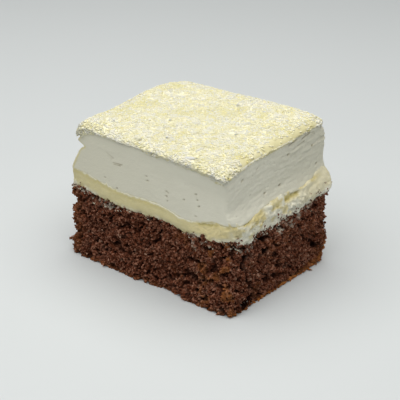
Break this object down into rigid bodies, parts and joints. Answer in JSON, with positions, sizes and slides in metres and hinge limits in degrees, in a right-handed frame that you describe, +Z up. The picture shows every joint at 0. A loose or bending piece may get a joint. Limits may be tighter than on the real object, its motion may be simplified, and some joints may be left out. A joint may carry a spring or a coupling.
{
  "type": "chocolate sponge cream slice with coconut topping",
  "caption": "Cut square of layered cake: moist chocolate sponge, a band of custard, a thick layer of pale cream and a scatter of coconut flakes.",
  "frame": {"origin": "middle of the flat base of the sponge, on the surface the slice stands on", "axes": "+Z up through the layers, +X along the longer side towards the shorter cut face, +Y towards the back"},
  "size_m": [0.0734, 0.056, 0.0519],
  "materials": {
    "sponge": "dull open chocolate crumb with small dark bubbles",
    "custard": "smooth pale yellow custard with a soft moist sheen",
    "cream": "dense pale cream, cut smooth, with fine knife marks and a few pits",
    "coconut": "loose ivory and pale yellow coconut flakes, matte"
  },
  "bodies": {
    "root": {"chocolate_sponge": "sponge", "custard_layer": "custard", "cream_layer": "cream", "coconut_topping": "coconut"}
  },
  "joints": []
}
